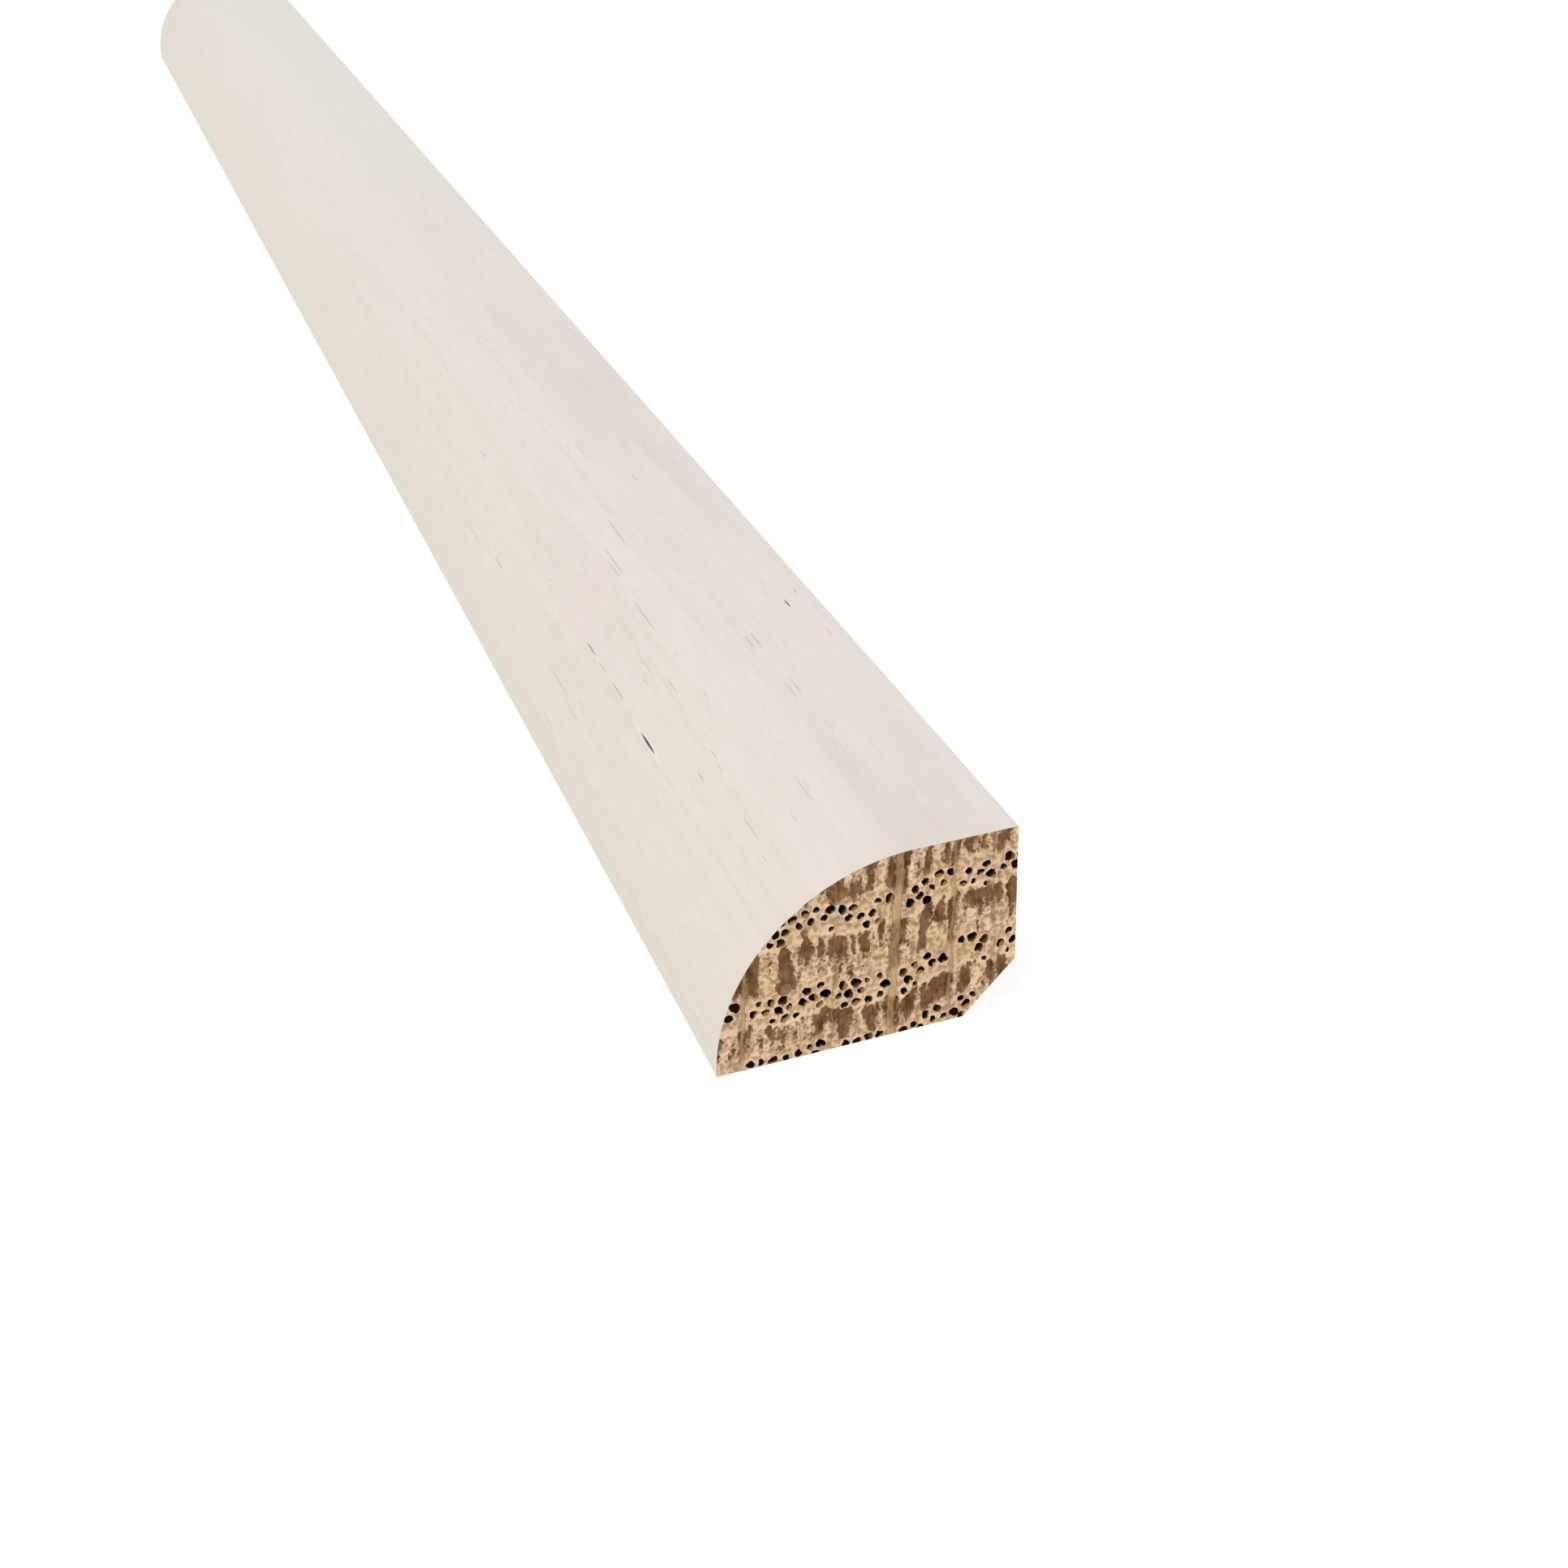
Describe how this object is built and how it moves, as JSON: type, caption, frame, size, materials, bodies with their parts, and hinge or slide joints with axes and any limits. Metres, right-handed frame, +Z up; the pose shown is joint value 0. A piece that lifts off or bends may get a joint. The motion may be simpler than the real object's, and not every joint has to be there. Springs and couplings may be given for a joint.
{
  "type": "shoe moulding",
  "caption": "Quarter-round wood shoe moulding with a flat top edge, a relieved back corner and square-cut ends; it covers the gap between a floor and a baseboard.",
  "frame": {"origin": "middle of the stick's length and width, on the floor plane that its floor face lies on", "axes": "+X along the stick, +Y from the rounded toe to the wall face, +Z up from the floor face to the top flat"},
  "size_m": [0.3048, 0.019, 0.0127],
  "materials": {
    "whitewashed_wood": "matt whitewash stain on the show face, bare sawn wood on the ends, back and underside"
  },
  "bodies": {
    "root": {"moulding": "whitewashed_wood"}
  },
  "joints": []
}
